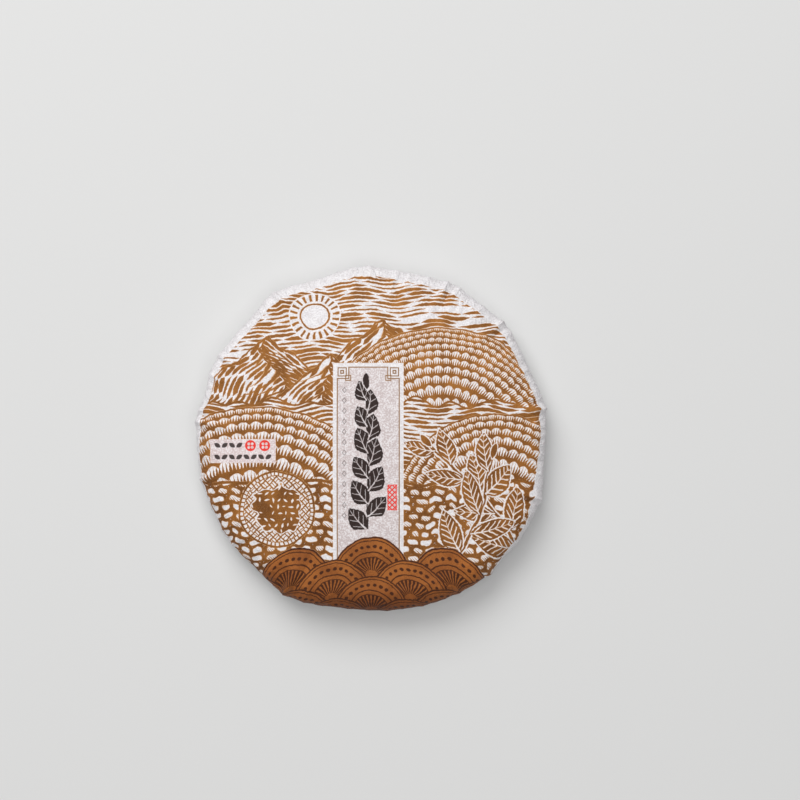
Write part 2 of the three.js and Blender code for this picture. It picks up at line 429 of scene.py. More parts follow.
class Nodes:
    """Adds nodes to one tree. A spot is a pair of wires, in mm across and up the sheet.

    The patterns run on plain numbers, because Cycles then works them out in turn and holds few at a time.
    """

    blur = 0.24  # width over which an inked edge fades, in mm

    def __init__(self, tree):
        self.tree = tree

    def feed(self, socket, value):
        if isinstance(value, Wire):
            self.tree.links.new(value.socket, socket)
        elif value is not None:
            socket.default_value = value

    def add(self, kind, *values, out=0, named=None, **settings):
        node = self.tree.nodes.new("ShaderNode" + kind)
        for name, setting in settings.items():
            setattr(node, name, setting)
        for socket, value in zip(node.inputs, values):
            self.feed(socket, value)
        for name, value in (named or {}).items():
            self.feed(node.inputs[name], value)
        return Wire(self, node.outputs[out])

    def math(self, operation, *values):
        return self.add("Math", *values, operation=operation)

    def split(self, kind, value):
        """The three numbers of a place (XYZ) or a colour (Color)."""
        node = self.tree.nodes.new("ShaderNodeSeparate" + kind)
        self.feed(node.inputs[0], value)
        return [Wire(self, socket) for socket in node.outputs]

    def inked(self, inside):
        """1 where a distance in mm is inside, 0 outside, with the slight bleed of an inked edge."""
        return self.soft(inside, -self.blur / 2, self.blur / 2)

    def line(self, distance, width):
        """An inked line of a width along the places where a distance is 0."""
        return self.inked(width / 2 - abs(distance))

    def soft(self, value, low, high):
        """A soft step. It needs no clamp, and a clamp would make Cycles hold every motif at once."""
        return self.add("MapRange", value, low, high, 0.0, 1.0, interpolation_type="SMOOTHSTEP", clamp=False)

    def length(self, x, y):
        return self.math("SQRT", self.math("MULTIPLY_ADD", x, x, y * y))

    def bearing(self, up, across, steps):
        """The turn round the middle, counted in steps for half a circle."""
        return self.math("ARCTAN2", up, across) * (steps / math.pi)

    def chance(self, x, y=0.0, z=0.0):
        """A draw from 0 to 1 that is fixed for each set of whole numbers."""
        draw = self.math("MULTIPLY_ADD", z, 31.713, self.math("MULTIPLY_ADD", y, 171.37, x))
        return self.add("TexWhiteNoise", named={"W": draw}, noise_dimensions="1D")

    def drift(self, run, scale, reach, seed=0.0):
        """A slow wander to both sides as a number runs on, up to about a third of the reach."""
        named = {"W": self.math("MULTIPLY_ADD", run, scale, seed), "Scale": 1.0, "Detail": 0.0}
        return (self.add("TexNoise", named=named, noise_dimensions="1D") - 0.5) * reach

    def noise(self, place, scale, detail, out=0):
        named = {"Vector": place, "Scale": scale, "Detail": detail}
        return self.add("TexNoise", named=named, out=out, noise_dimensions="3D")

    def turned(self, x, y, angle):
        """A spot seen from axes turned by an angle in radians."""
        if isinstance(angle, Wire):
            c, s = self.math("COSINE", angle), self.math("SINE", angle)
        else:
            c, s = math.cos(angle), math.sin(angle)
        return x * c + y * s, y * c - x * s

    def placed(self, spot, x, y, turn=0.0):
        """A spot as seen from a motif that stands at x, y and is turned in degrees."""
        spot = spot[0] - x, spot[1] - y
        return self.turned(*spot, math.radians(turn)) if turn else spot

    def blend(self, share, below, above):
        return self.add("Mix", named={0: share, 2: below, 3: above}, data_type="FLOAT")

    def colour(self, share, below, above, blend_type="MIX"):
        fed = {0: share, 6: below, 7: above}
        return self.add("Mix", named=fed, out=2, data_type="RGBA", blend_type=blend_type)

    def use(self, pattern, where, **values):
        """Places a node group at a spot or a place and returns its outputs."""
        node = self.tree.nodes.new("ShaderNodeGroup")
        node.node_tree = pattern.tree
        if isinstance(where, tuple):
            self.feed(node.inputs["X"], where[0])
            self.feed(node.inputs["Y"], where[1])
        else:
            self.feed(node.inputs["Place"], where)
        for name, value in values.items():
            self.feed(node.inputs[spoken(name)], value)
        wires = [Wire(self, socket) for socket in node.outputs]
        return wires if len(wires) > 1 else wires[0]


def spoken(name):
    """A value's name as the sockets show it."""
    return name.capitalize().replace("_", " ")


class Pattern(Nodes):
    """A shader node group with named numbers in and out, laid at a spot (X, Y) or at a place on the sheet."""

    def __init__(self, name, outputs, at="spot", **inputs):
        super().__init__(bpy.data.node_groups.new(name, "ShaderNodeTree"))
        sockets = self.tree.interface
        if at == "place":
            sockets.new_socket("Place", in_out="INPUT", socket_type="NodeSocketVector")
        else:
            inputs = {"x": 0.0, "y": 0.0, **inputs}
        for label, value in inputs.items():
            socket = sockets.new_socket(spoken(label), in_out="INPUT", socket_type="NodeSocketFloat")
            socket.default_value = value
        for label in outputs:
            sockets.new_socket(spoken(label), in_out="OUTPUT", socket_type="NodeSocketFloat")
        entry = self.tree.nodes.new("NodeGroupInput")
        self.given = {socket.name: Wire(self, socket) for socket in entry.outputs if socket.name}
        self.exit = self.tree.nodes.new("NodeGroupOutput")

    @property
    def spot(self):
        return self.given["X"], self.given["Y"]

    def __getitem__(self, name):
        return self.given[name]

    def give(self, **outputs):
        for name, value in outputs.items():
            self.feed(self.exit.inputs[spoken(name)], value)
        return self


def carvers_hand():
    """The spot that a hand-cut line strays to."""
    p = Pattern("Carver's hand", ("x", "y"), at="place", reach=0.7)
    x, y, _ = p.split("XYZ", p["Place"])
    slow_x, slow_y, _ = p.split("Color", p.noise(p["Place"], 0.22, 0.0, out=1))
    fine_x, fine_y, _ = p.split("Color", p.noise(p["Place"], 1.3, 0.0, out=1))
    return p.give(
        x=x + (slow_x - 0.5 + (fine_x - 0.5) * 0.35) * p["Reach"],
        y=y + (slow_y - 0.5 + (fine_y - 0.5) * 0.35) * p["Reach"],
    )


def carved_strokes():
    """Rows of broken, tapering strokes, as a gouge leaves them."""
    p = Pattern("Carved strokes", ("ink",), row=1.3, length=9.0, weight=0.7, share=0.8, bend=3.0, seed=0.0)
    x, y = p.spot
    bent = (y + p.drift(x + y * 0.4, 0.07, p["Bend"], p["Seed"])) / p["Row"]
    row = bent.floor()
    drawn = p.chance(row, p["Seed"])
    run = x / (p["Length"] * (0.6 + drawn * 0.8)) + drawn * 37
    cell = run.floor()
    part = run - cell
    luck = p.chance(row, cell, p["Seed"])
    taper = (part.least(1 - part) * 4.5).least(1.0)
    half = p["Weight"] * 0.5 * taper * (0.45 + luck * 0.75) * (luck < p["Share"])
    return p.give(ink=p.inked((half - bent.off_middle()) * p["Row"]) * (half > 0.03))


def hatched_peak():
    """A mountain with its apex at the middle: outline, ridge, hatching, and strokes on both sides."""
    p = Pattern(
        "Hatched peak", ("ink", "mask"),
        left_fall=0.9, right_fall=0.9, lean=0.1, hatch=1.1, shade=12.0, lit=0.0, shaded=0.0, seed=0.0,
    )
    x, y = p.spot
    drop = -y
    jag = p.drift(x, 0.16, 4.2, p["Seed"]) + p.drift(x, 0.6, 1.1, p["Seed"])
    slope = (-x).most(0.0) * p["Left fall"] + x.most(0.0) * p["Right fall"]
    inside = (drop - slope + jag) * 0.72
    q = x - p["Lean"] * drop - p.drift(drop, 0.1, 8, p["Seed"] + 9) - p.drift(drop, 0.4, 1.6, p["Seed"])
    comb = (drop * 0.85 - q * 0.5) / p["Hatch"]
    reach = p["Shade"] * (0.3 + p.chance(comb.floor(), p["Seed"]) * 0.7) * (drop * 0.11 + 0.2).least(1.0)
    width = 0.5 * (1 - q / reach)
    hatch = p.inked((width - comb.off_middle()) * p["Hatch"]) * (q > 0) * (q < reach)
    rake = (drop * 0.8 + q * 0.5) / (p["Hatch"] * 1.9)
    width = 0.24 * (1 + q / (p["Shade"] * p.chance(rake.floor(), p["Seed"] + 3)))
    light = p.inked((width - rake.off_middle()) * p["Hatch"]) * (q < 0) * (width > 0.02)
    mask = p.inked(inside)
    edge = p.line(inside - 0.3, 0.7 + p.drift(x + y, 0.5, 0.5))
    strokes = p.blend(q > 0, p["Lit"] * (q < -0.6), p["Shaded"] * (q > 0.8))
    ink = p.line(q, 0.6).most(hatch).most(light).most(edge).most(strokes) * mask
    return p.give(ink=ink, mask=mask)


def tea_rows():
    """Rows of clipped tea bushes round a hill with its crest at the middle; they grow towards the foot."""
    p = Pattern("Tea rows", ("ink", "mask"), curve=34.0, first=2.0, growth=1.13, bush=1.25, seed=0.0)
    x, y = p.spot
    up = y + p["Curve"]
    depth = p["Curve"] - p.length(x, up)
    rows = p.math("LOGARITHM", 1 + depth.most(0.0) * (p["Growth"] - 1) / p["First"], p["Growth"])
    row = rows.floor()
    t = rows - row
    tall = p["First"] * p["Growth"] ** row
    turn = p.bearing(x, up, math.pi) * p["Curve"] / (tall * p["Bush"]) + p.chance(row, p["Seed"]) * 5
    cell = turn.floor()
    f = turn.off_middle() * 2
    low = 0.34 * f * f + 0.10 * p.chance(cell, row, p["Seed"])
    gap = p.inked((low - t) * tall + 0.16)
    comb = (turn * 4 + 0.3 * t).off_middle()
    shade = p.inked((p.soft(t, 0.2, 1.0) * 0.5 * (0.55 + f * 0.55) - comb + 0.03) * tall * 0.3)
    foot = p.inked((t - 0.88) * tall)
    mask = p.inked(depth)
    ink = gap.most(shade).most(foot).most(p.line(depth - 0.25, 0.5)) * mask
    return p.give(ink=ink, mask=mask)


def stone_wall():
    """Courses of rounded stones with inked joints, some of them shaded below."""
    p = Pattern("Stone wall", ("ink",), size=3.0, joint=0.5)
    x, y = p.spot
    course = (y + p.drift(x, 0.1, 2.6) + p.drift(x, 0.4, 1.3, 5.0)) * 1.3 / p["Size"]
    row = course.floor()
    wide = p["Size"] * (0.95 + 0.5 * p.chance(row, 3.0))
    run = x / wide + p.chance(row, 8.0) * 9
    cell = run.floor()
    luck = p.chance(cell, row)
    across = (0.5 - abs(run.part() - 0.38 - luck * 0.24)) * wide
    up = (0.5 - course.off_middle()) * p["Size"] / 1.3
    inside = across * up / (across + up) * 1.5 - p["Joint"] * 0.5 - luck * 0.12
    comb = ((x + y) / 0.8).off_middle()
    shade = p.inked((0.34 - comb - course.part() * 0.5) * 0.8) * (luck > 0.5)
    return p.give(ink=(1 - p.inked(inside)).most(shade))


def leaf_marks():
    """Small pale leaves scattered on an inked ground, each turned its own way."""
    p = Pattern("Leaf marks", ("ink",), size=2.0, width=0.3)
    x, y = p.spot
    v = y / p["Size"]
    j = v.floor()
    u = x / p["Size"] + p.chance(j, 5.0)
    i = u.floor()
    luck = p.chance(i, j)
    lx, ly = p.turned(u - i - 0.4 - luck * 0.2, v - j - 0.6 + luck * 0.2, p.chance(i, j, 2.0) * 6.3)
    reach = 0.26 + luck * 0.2
    along = lx / reach
    inside = p["Width"] * (1 - along * along) * reach - abs(ly)
    return p.give(ink=1 - p.inked(inside * p["Size"]) * (luck > 0.1))


def tea_leaf():
    """One leaf from its stalk at the middle along +X: an inked blade with pale veins, and its border."""
    p = Pattern("Tea leaf", ("blade", "border"), length=8.0, width=3.4, veins=1.3, cut=0.3)
    x, y = p.spot
    u = (x / p["Length"]).most(0.0).least(1.0)
    bent = abs(y - p["Length"] * 0.16 * u * u)
    full = (4 * u * (1 - u)) ** 0.9 * (1.15 - 0.3 * u)
    half = p["Width"] * 0.5 * full - 0.22 * (x / 0.95).off_middle()
    inside = (half - bent).least(x).least(p["Length"] - x)
    rib = p.inked(0.2 * (1.1 - u) - bent) * (u < 0.93)
    vein = ((x - bent * 1.15) / p["Veins"]).off_middle()
    veins = p.inked(p["Cut"] * 0.5 - vein * p["Veins"] * 0.66) * (bent < half * 0.8)
    return p.give(blade=p.inked(inside) * (1 - rib.most(veins)), border=p.inked(inside + 0.42))


def tea_sprig(leaf):
    """A stem from the middle up along +Y, with leaves on both sides and a bud at its end."""
    p = Pattern(
        "Tea sprig", ("ink", "border"),
        length=40.0, pitch=9.0, leaf=8.0, width=3.6, lift=38.0, veins=1.3, cut=0.3, sway=0.0, seed=0.0,
    )
    x, y = p.spot
    x = x - p["Sway"] * p.math("SINE", y / p["Length"] * 4.2)
    stem = (0.42 - abs(x)).least(y).least(p["Length"] - y)
    ink, border = p.inked(stem), p.inked(stem + 0.4)
    lift = p["Lift"] * (math.pi / 180)
    side = (x > 0) * 2 - 1
    start = (side + 1) * 0.25
    here = (y / p["Pitch"] - start).floor()
    for back in (0, 1):
        number = here - back
        luck = p.chance(number, p["Seed"] + side)
        foot = (number + start) * p["Pitch"]
        grown = (p["Length"] - foot) / p["Length"]
        angle = lift + (luck - 0.5) * 0.35 + (1 - grown) * 0.35
        size = (0.72 + 0.28 * grown) * (0.9 + 0.2 * luck) * (foot > -0.01) * (grown > 0.04)
        blade, edge = p.use(
            leaf, p.turned(x * side, y - foot, angle),
            length=p["Leaf"] * size, width=p["Width"] * size, veins=p["Veins"], cut=p["Cut"],
        )
        edge = edge * (size > 0.1)
        ink, border = p.blend(edge, ink, blade), border.most(edge)
    tip = (y - p["Length"] + 0.6) / 4.6
    bud = (0.95 * (4 * tip * (1 - tip)).most(0.0) ** 0.7 - abs(x)).least(tip * 4.6).least((1 - tip) * 4.6)
    edge = p.inked(bud + 0.35)
    return p.give(ink=p.blend(edge, ink, p.inked(bud)), border=border.most(edge))


def sun_disc():
    """A pale disc in a ring, with short rays."""
    p = Pattern("Sun", ("ink", "mask"), radius=4.2)
    x, y = p.spot
    away = p.length(x, y)
    ring = p.line(away - p["Radius"], 0.55)
    ray = p.inked((0.2 - p.bearing(y, x, 11).off_middle()) * away * 0.3)
    ray = ray.least(p.inked(1.1 - abs(away - p["Radius"] - 2.1)))
    return p.give(ink=ring.most(ray), mask=p.inked(p["Radius"] + 3.6 - away))


def woven_tray(marks):
    """A round bamboo tray, woven on the slant, with a heap of leaf in the middle."""
    p = Pattern("Woven tray", ("ink", "mask"), radius=11.5, strand=1.7)
    x, y = p.spot
    away = p.length(x, y)
    a, b = (x + y) * 0.7071 / p["Strand"], (x - y) * 0.7071 / p["Strand"]
    fa, fb = a.off_middle(), b.off_middle()
    joints = p.inked((fa.most(fb) - 0.38) * p["Strand"])
    odd = ((a.floor() + b.floor()) * 0.5).part() * 2
    grain = p.inked((0.07 - p.blend(odd, fa, fb)) * p["Strand"])
    heap = p["Radius"] * 0.6 + p.drift(x, 0.3, 4) + p.drift(y, 0.35, 4) - away
    leaf = p.use(marks, p.spot, size=1.9, width=0.34)
    ink = p.blend(p.inked(heap + 0.4), joints.most(grain), leaf * p.inked(heap))
    rim = p["Radius"] - away
    ticks = p.inked((0.16 - p.bearing(y, x, 26).off_middle()) * 1.3)
    ring = p.line(rim - 0.35, 0.6).most(p.line(rim - 1.7, 0.45)).most(ticks * (rim < 1.7))
    return p.give(ink=p.blend(p.inked(1.7 - rim), ink, ring), mask=p.inked(rim))


def wave_scales():
    """Overlapping ringed scales, the old wave pattern: the ink of their rings, and where they lie."""
    p = Pattern("Wave scales", ("ink", "mask"), radius=9.0)
    x, y = p.spot
    radius = p["Radius"]
    step = radius * 0.5
    lowest = ((y - radius) / step).floor() + 1
    ink, mask = 0.0, 0.0
    for above in (3, 2, 1, 0):
        row = lowest + above
        up = y - row * step
        across = ((x / (radius * 2) + (row * 0.5).part() + 0.5).part() - 0.5) * radius * 2
        away = p.length(across, up)
        over = p.inked(radius - away) * (row < 0.5)
        rings = p.line(away - radius + 0.25, 0.5).most(p.line(away - radius + 1.15, 0.3))
        rings = rings.most(p.line(away - radius * 0.62, 0.4)).most(p.line(away - radius * 0.5, 0.28))
        comb = p.bearing(across, up, 15).off_middle()
        petals = p.inked((0.3 - comb) * away * 0.4) * (away < radius * 0.5) * (away > radius * 0.16)
        beads = p.inked(0.5 - p.length(comb * 1.6, away - radius * 0.76))
        rings = rings.most(petals).most(beads)
        ink, mask = p.blend(over, ink, rings), over.most(mask)
    return p.give(ink=ink, mask=mask)


def label_panel():
    """The upright label: its field, tint, thin frame with key frets, and a row of small diamonds."""
    p = Pattern("Label panel", ("field", "tint", "line", "marks"), half_width=9.2, top=20.6, step=3.4)
    x, y = p.spot
    side, top = abs(x) - p["Half width"], y - p["Top"]
    out = side.most(top)
    # The frame steps in round each corner, where nested squares fill the step.
    past = out.most((side + p["Step"]).least(top + p["Step"]))
    frame = p.line(past, 0.26)
    middle = p["Step"] * 0.42
    square = abs(side + middle).most(abs(top + middle))
    fret = p.line(square - p["Step"] * 0.36, 0.26).most(p.line(square - p["Step"] * 0.12, 0.3))
    inner = abs(side + p["Step"] * 0.95).most(abs(top + p["Step"] * 0.95))
    fret = fret.most(p.line(inner - p["Step"] * 0.22, 0.24))
    diamond = abs(x + p["Half width"] - 2.1) * 1.1 + abs(((y / 3.1).part() - 0.5) * 3.1) * 0.8
    marks = p.line(diamond - 0.62, 0.3) * (top < -4.5) * (y > -24.8)
    return p.give(field=p.inked(1.3 - out), tint=p.inked(-past), line=frame.most(fret), marks=marks)


def tag_marks():
    """Two rows of small seeds, and two red discs with four pale spots at the end of the upper row."""
    p = Pattern("Tag marks", ("dark", "red"), pitch=2.2)
    x, y = p.spot
    row = y / 3.5
    up = (row.part() - 0.5) * 3.5
    number = (x / p["Pitch"]).floor()
    lean = (number * 0.5).part() * 4 - 1
    across, up = p.turned((x / p["Pitch"]).part() * p["Pitch"] - p["Pitch"] * 0.5, up, lean * 0.6)
    seed = 0.66 - across * across * 0.55 - abs(up)
    kept = (row.floor() < -0.5).most(x < 0) * (abs(x) < 8.8) * (abs(row) < 1)
    disc_x, disc_y = abs(x - 4.4) - 2.15, y - 1.6
    disc = 1.65 - p.length(disc_x, disc_y)
    spots = p.length(abs(disc_x) - 0.52, abs(disc_y) - 0.52) - 0.42
    return p.give(dark=p.inked(seed) * kept, red=p.inked(disc) * (1 - p.inked(-spots) * 0.9))


def red_seal():
    """A small upright seal with a lattice in its frame."""
    p = Pattern("Seal", ("ink",), half_width=1.4, half_height=3.8)
    x, y = p.spot
    inside = (p["Half width"] - abs(x)).least(p["Half height"] - abs(y)) + p.drift(x + y, 1.5, 0.3)
    lattice = ((x + y) / 1.5).off_middle().least(((x - y) / 1.5).off_middle())
    ink = p.inked(0.19 - lattice * 1.06).most(p.inked(0.3 - inside))
    return p.give(ink=p.inked(inside) * ink)


def paper_fibre():
    """Cotton fibres and cloudy thickness in the paper: a mottle from 0 to 1, its height and its fibres."""
    p = Pattern("Paper fibre", ("mottle", "height", "fibre"), at="place", scale=1.0)
    cloudy = p.noise(p["Place"], p["Scale"] * 0.5, 3.0)
    grain = p.noise(p["Place"], p["Scale"] * 1.9, 3.0)
    fibre = 0.0
    for turn in (25, 105, 160):
        lie = p.add("Mapping", named={
            "Vector": p["Place"], "Location": (turn, 0, 0), "Rotation": (0, 0, math.radians(turn)),
            "Scale": (0.16, 1.6, 1),
        })
        strand = p.line((p.noise(lie, p["Scale"], 1.0) - 0.5) * 3, 0.05)
        strand = strand * (p.noise(lie, p["Scale"] * 0.8, 0.0) > 0.54)
        fibre = strand.most(fibre)
    height = grain * 0.6 + cloudy * 0.25 + fibre * 0.3
    return p.give(mottle=cloudy * 0.3 + grain * 0.7, height=height, fibre=fibre)


def paper_creases():
    """Fine, sharp creases that run over the rim where the paper is gathered, and crumpled facets."""
    p = Pattern("Paper creases", ("height",), at="place", start=43.0)
    x, y, _ = p.split("XYZ", p["Place"])
    along = p.length(x, y)
    share = p.soft(along, p["Start"], p["Start"] + 8.0)
    lengthwise = p.add("CombineXYZ", x * 20 / along, y * 20 / along, along * 0.13)
    creases = 0.0
    for place, scale, steep, weight in (
        (lengthwise, 1.0, 14, 1.0),
        (lengthwise, 2.3, 12, 0.5),
        (p["Place"], 0.3, 14, 0.8),
        (p["Place"], 0.8, 14, 0.35),
    ):
        ridge = (1 - abs(p.noise(place, scale, 1.0) - 0.5) * steep).most(0.0)
        creases = ridge * ridge * weight + creases
    return p.give(height=creases * share)


def press_wear():
    """How fully the block printed: thin, grainy places where the ink missed the paper's hollows."""
    p = Pattern("Press wear", ("cover", "tone"), at="place", loss=0.5)
    grain = p.noise(p["Place"], 3.2, 2.0)
    cloud = p.noise(p["Place"], 0.16, 2.0)
    cover = 1 - p["Loss"] * p.soft(grain + (cloud - 0.5) * 0.4, 0.56, 0.78)
    return p.give(cover=cover, tone=p.soft(cloud * 0.5 + grain * 0.5, 0.38, 0.62))


def tea_hill_woodcut():
    """The whole print, laid from back to front on the flat sheet: every ink's share at a place, and two
    shares of painted shade that darken the ink and the wave band towards the bottom.
    """
    inks = "brown", "dark", "red", "tint", "tag", "band", "band_line", "fall", "low"
    p = Pattern("Tea hill woodcut", inks, at="place")
    strokes, peak, rows, marks, leaf = carved_strokes(), hatched_peak(), tea_rows(), leaf_marks(), tea_leaf()
    sprig, sun = tea_sprig(leaf), sun_disc()
    tray, wall, waves = woven_tray(marks), stone_wall(), wave_scales()
    spot = tuple(p.use(carvers_hand(), p["Place"], reach=0.8))
    x, y = spot
    px, py, _ = p.split("XYZ", p["Place"])

    def lay(ink, motif, *stand, **values):
        drawn, mask = p.use(motif, p.placed(spot, *stand), **values)
        return p.blend(mask, ink, drawn)

    # Sky and sun.
    ink = p.use(strokes, spot, row=1.3, length=13, weight=0.8, share=0.97, bend=3)
    ink = lay(ink, sun, -17, 36.5, radius=4.2)
    # Far peaks, whose lit and shaded sides each have strokes of their own.
    slope = p.placed(spot, 0, 0, 48)
    lit = p.use(strokes, slope, row=1.4, length=7, weight=0.95, share=0.92, bend=4, seed=2)
    slope = p.placed(spot, 0, 0, -40)
    shaded = p.use(strokes, slope, row=1.15, length=9, weight=0.98, share=0.97, bend=3, seed=7)
    sides = {"lit": lit, "shaded": shaded}
    ink = lay(ink, peak, 4, 35, left_fall=0.7, right_fall=0.62, shade=14, seed=2, **sides)
    ink = lay(ink, rows, 29, 32, -12, curve=40, first=1.4, growth=1.12, bush=1.5, seed=9)
    ink = lay(ink, peak, -31, 31, left_fall=0.75, right_fall=0.8, lean=0.15, shade=18, seed=5, **sides)
    ink = lay(ink, peak, -12, 25, left_fall=0.8, right_fall=0.9, lean=-0.2, shade=12, seed=11, **sides)
    # A river of mist in the valley.
    shore = 10.5 + p.drift(x, 0.12, 6) - y
    river = p.use(strokes, spot, row=1.3, length=12, weight=0.9, share=0.97, bend=4, seed=3)
    ink = p.blend(p.inked(shore), ink, river.most(p.line(shore - 0.3, 0.7)))
    # Tea hills to the left and right, then the stone terrace and the tray in front.
    ink = lay(ink, rows, 40, 7, -6, curve=30, first=1.9, growth=1.16, bush=1.5, seed=4)
    ink = lay(ink, rows, -38, 9, 5, curve=46, first=2.0, growth=1.17, bush=1.5, seed=1)
    ground = -13.0 + p.drift(x, 0.1, 4, 2.0) - y
    paving = p.use(wall, spot, size=3.2, joint=1.0)
    ink = p.blend(p.inked(ground), ink, paving.most(p.line(ground - 0.5, 1.0)))
    ink = lay(ink, tray, -28, -21.5, radius=11.5)
    for stand, length in (((43, -33, 38), 40), ((26, -34, -22), 30)):
        ink = lay(
            ink, sprig, *stand,
            length=length, pitch=12.5, leaf=14.0, width=6.4, lift=34, veins=1.9, sway=1.5, seed=length,
        )

    # The label and the tag lie over the picture, with straight edges that the knife didn't stray from.
    field, tint, line, marks = p.use(label_panel(), p.placed((px, py), -0.9, 0), half_width=9.2, top=20.8)
    tag = p.placed((px, py), -38.3, -4.1)
    tag_field = p.inked((9.9 - abs(tag[0])).least(3.55 - abs(tag[1])))
    brown = p.blend(field.most(tag_field), ink, line * field * 0.75)
    sprig_ink, _ = p.use(
        sprig, p.placed(spot, -1.2, -27.5),
        length=42.5, pitch=7.6, leaf=9.2, width=6.4, lift=48, veins=2.3, cut=0.12, sway=0.3, seed=8,
    )
    marks_dark, marks_red = p.use(tag_marks(), tag)
    red = marks_red.most(p.use(red_seal(), p.placed((px, py), 6.2, -17.9)))
    dark = (sprig_ink * field).most(marks_dark * 0.95).most(marks.most(line) * 0.6)

    # The wave band at the foot follows the rim, and the printed circle ends short of the paper's folds.
    scales, band = p.use(waves, (x, y + 41.6 + x * x * 0.0062), radius=12.0)
    bare = 1 - band
    rough = p.drift(x - y, 0.5, 1.2) + p.drift(x + y, 0.6, 1.2)
    circle = 51.1 - p.length(px + 0.1, py + 1.9) + rough * 0.3
    # It comes closer to the edge on the lower left, and keeps away from the ear on the lower right.
    ear = p.soft(p.length(px - 51, py + 16), 3, 13)
    closer = p.soft(-py, 30, 45) * 3 + p.soft(-px - py, 42, 60) * 1.3
    printed = p.inked(circle + closer + (ear - 1) * 1.7)
    return p.give(
        brown=brown * bare * printed,
        dark=dark * bare,
        red=red,
        tint=tint * bare,
        tag=tag_field,
        band=band * printed,
        band_line=scales * band * printed,
        # painted shade: how far the brown ink darkens towards the bottom of the face, as shade where the rim
        # turns from the light
        fall=p.soft(-py, -50, 45),
        # painted shade: how far the wave band darkens towards its bottom edge, where the rim turns from the
        # light
        low=p.soft(-py, 38, 54),
    )


def srgb(red, green, blue):
    """A colour given as it shows on screen, 0 to 255, for a colour socket."""
    def linear(v):
        v /= 255
        return v / 12.92 if v <= 0.04045 else ((v + 0.055) / 1.055) ** 2.4
    return tuple(linear(v) for v in (red, green, blue))


def material(name, **values):
    """A new material with its surface shader, and the tree's nodes."""
    made = bpy.data.materials.new(name)
    made.use_nodes = True
    shader = made.node_tree.nodes["Principled BSDF"]
    for label, value in values.items():
        shader.inputs[label.replace("_", " ")].default_value = value
    return made, Nodes(made.node_tree), shader


def wrapper_paper(look):
    """Thin cotton paper with a brown woodcut, a dark sprig, red marks and a wave band, and painted shade that
    darkens the ink and the band towards the bottom.
    """
    made, nodes, shader = material(
        "Printed cotton paper", Sheen_Weight=0.05, Sheen_Roughness=0.6, Specular_IOR_Level=0.2, IOR=1.45,
    )
    sheet = nodes.add("UVMap", uv_map="Sheet")
    middle = -SHEET_WIDTH / 2
    named = {"Vector": sheet, "Location": (middle, middle, 0), "Scale": (SHEET_WIDTH,) * 3}
    place = nodes.add("Mapping", named=named, vector_type="POINT")
    mottle, height, fibre = nodes.use(paper_fibre(), place)
    cover, tone = nodes.use(press_wear(), place, loss=0.3)
    brown, dark, red, tint, tag, band, band_line, fall, low = nodes.use(tea_hill_woodcut(), place)

    paper = nodes.colour(nodes.soft(mottle, 0.36, 0.64), (*look.paper_shade, 1), (*look.paper, 1))
    speckle = 1.5 - nodes.soft(mottle, 0.44, 0.56) * 1.1
    paper = nodes.colour(tint * speckle, paper, (*look.label_tint, 1), blend_type="MULTIPLY")
    paper = nodes.colour(tag * speckle, paper, (*look.tag_tint, 1), blend_type="MULTIPLY")
    paper = nodes.colour(fibre * 0.3, paper, (*look.fibre, 1))
    # The ink deepens with its own random tone, and with painted shade towards the bottom of the face.
    ink = nodes.colour(tone * 0.75 + fall * 0.35, (*look.brown_ink, 1), (*look.brown_deep, 1))
    # Round each line the ink thins out, and where it wore thin the same pale brown is left.
    skin = nodes.colour(brown * 1.8, paper, (*look.thin_ink, 1))
    skin = nodes.colour((brown * 1.8 - 0.8) * cover, skin, ink)
    # The band deepens with its random tone, and with painted shade towards its bottom edge.
    ground = nodes.colour((tone * 0.7).most(low), (*look.band, 1), (*look.band_deep, 1))
    skin = nodes.colour(band, skin, ground)
    skin = nodes.colour(band_line * (0.6 + cover * 0.35), skin, (*look.band_line, 1))
    skin = nodes.colour(dark * (0.75 + cover * 0.25), skin, (*look.dark_ink, 1))
    skin = nodes.colour(red * (0.6 + cover * 0.4), skin, (*look.red_ink, 1))
    inked = brown.most(band).most(dark).most(red)
    nodes.feed(shader.inputs["Base Color"], skin)
    nodes.feed(shader.inputs["Roughness"], 0.86 - inked * 0.12 - mottle * 0.08)
    relief = height * 0.5 + nodes.use(paper_creases(), place)
    bump = nodes.add("Bump", named={"Strength": 1.0, "Distance": FIBRE_RISE * MM, "Height": relief})
    nodes.feed(shader.inputs["Normal"], bump)
    return made


# The add-on


def length_property(name, description, length):
    return bpy.props.FloatProperty(
        name=name, description=description, default=length, min=0,
        subtype="DISTANCE", unit="LENGTH", precision=5,
    )


def ink_property(name, description, colour):
    return bpy.props.FloatVectorProperty(
        name=name, description=description, default=colour, min=0, max=1, subtype="COLOR", size=3
    )


def power_property(name, description, power):
    return bpy.props.FloatProperty(name=name, description=description, default=power, min=0, unit="POWER")


class TeaCakeWrapper(bpy.types.PropertyGroup):
    """Sizes of the paper wrapper."""

    pleat_step: length_property("Pleat step", "How far a fold's edge stands over the next pleat", 0.9 * MM)
    crease_depth: length_property("Crease depth", "Scale of the creases round the rim", 1.3 * MM)


